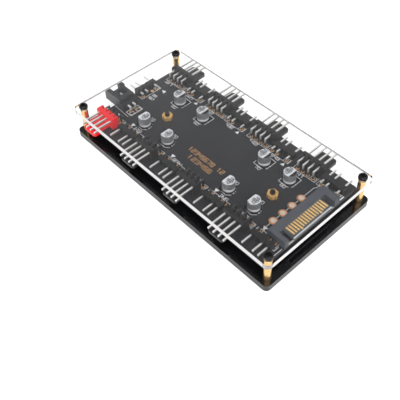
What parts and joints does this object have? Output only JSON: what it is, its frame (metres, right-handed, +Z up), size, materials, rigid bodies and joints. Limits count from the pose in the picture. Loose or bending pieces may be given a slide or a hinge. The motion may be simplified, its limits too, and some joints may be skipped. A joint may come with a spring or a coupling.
{
  "type": "fan and light hub board",
  "caption": "Hub board for computer fans and light strips, held between a black base plate and a clear cover plate on brass pillars.",
  "frame": {"origin": "middle of the base plate's underside", "axes": "+X along the long side towards the supply plug, +Y towards the back row of headers, +Z up from the base plate to the clear cover"},
  "size_m": [0.111, 0.0594, 0.0162],
  "materials": {
    "base_black": "black acrylic, glossy",
    "clear_cover": "clear acrylic, glossy",
    "board_black": "glass-fibre laminate with matt black solder mask",
    "brass": "turned brass, satin",
    "screw_black": "black coated steel",
    "header_red": "moulded nylon",
    "header_grey": "moulded nylon",
    "header_black": "moulded nylon",
    "plug_black": "moulded nylon",
    "plug_grey": "moulded nylon, blue-grey black",
    "pin_tin": "tinned square wire",
    "blade_gold": "gold plated contact",
    "can_aluminium": "drawn can, satin",
    "solder": "solder on copper"
  },
  "bodies": {
    "root": {"base_plate": "base_black", "cover_plate": "clear_cover", "board": "board_black", "pillar_1": "brass", "pillar_2": "brass", "pillar_3": "brass", "pillar_4": "brass", "cover_screws": "screw_black", "base_screws": "screw_black", "board_screws": "screw_black", "board_spacers": "brass", "board_nuts": "brass", "fan_front_1": "header_red", "fan_front_2": "header_grey", "fan_front_3": "header_grey", "fan_front_4": "header_grey", "fan_back_1": "header_grey", "fan_back_2": "header_grey", "fan_back_3": "header_grey", "fan_back_4": "header_grey", "fan_pins_front_1": "pin_tin", "fan_pins_front_2": "pin_tin", "fan_pins_front_3": "pin_tin", "fan_pins_front_4": "pin_tin", "fan_pins_back_1": "pin_tin", "fan_pins_back_2": "pin_tin", "fan_pins_back_3": "pin_tin", "fan_pins_back_4": "pin_tin", "light_front_1": "header_black", "light_front_2": "header_black", "light_front_3": "header_black", "light_front_4": "header_black", "light_back_1": "header_black", "light_back_2": "header_black", "light_back_3": "header_black", "light_back_4": "header_black", "light_input": "header_black", "light_pins_front_1": "pin_tin", "light_pins_front_2": "pin_tin", "light_pins_front_3": "pin_tin", "light_pins_front_4": "pin_tin", "light_pins_back_1": "pin_tin", "light_pins_back_2": "pin_tin", "light_pins_back_3": "pin_tin", "light_pins_back_4": "pin_tin", "light_pins_input": "pin_tin", "control_plug": "plug_black", "control_pins": "pin_tin", "supply_plug": "plug_grey", "supply_blades": "blade_gold", "capacitor_1": "can_aluminium", "capacitor_2": "can_aluminium", "capacitor_3": "can_aluminium", "capacitor_4": "can_aluminium", "capacitor_5": "can_aluminium", "capacitor_6": "can_aluminium", "capacitor_7": "can_aluminium", "capacitor_8": "can_aluminium", "power_pads": "solder"}
  },
  "joints": []
}
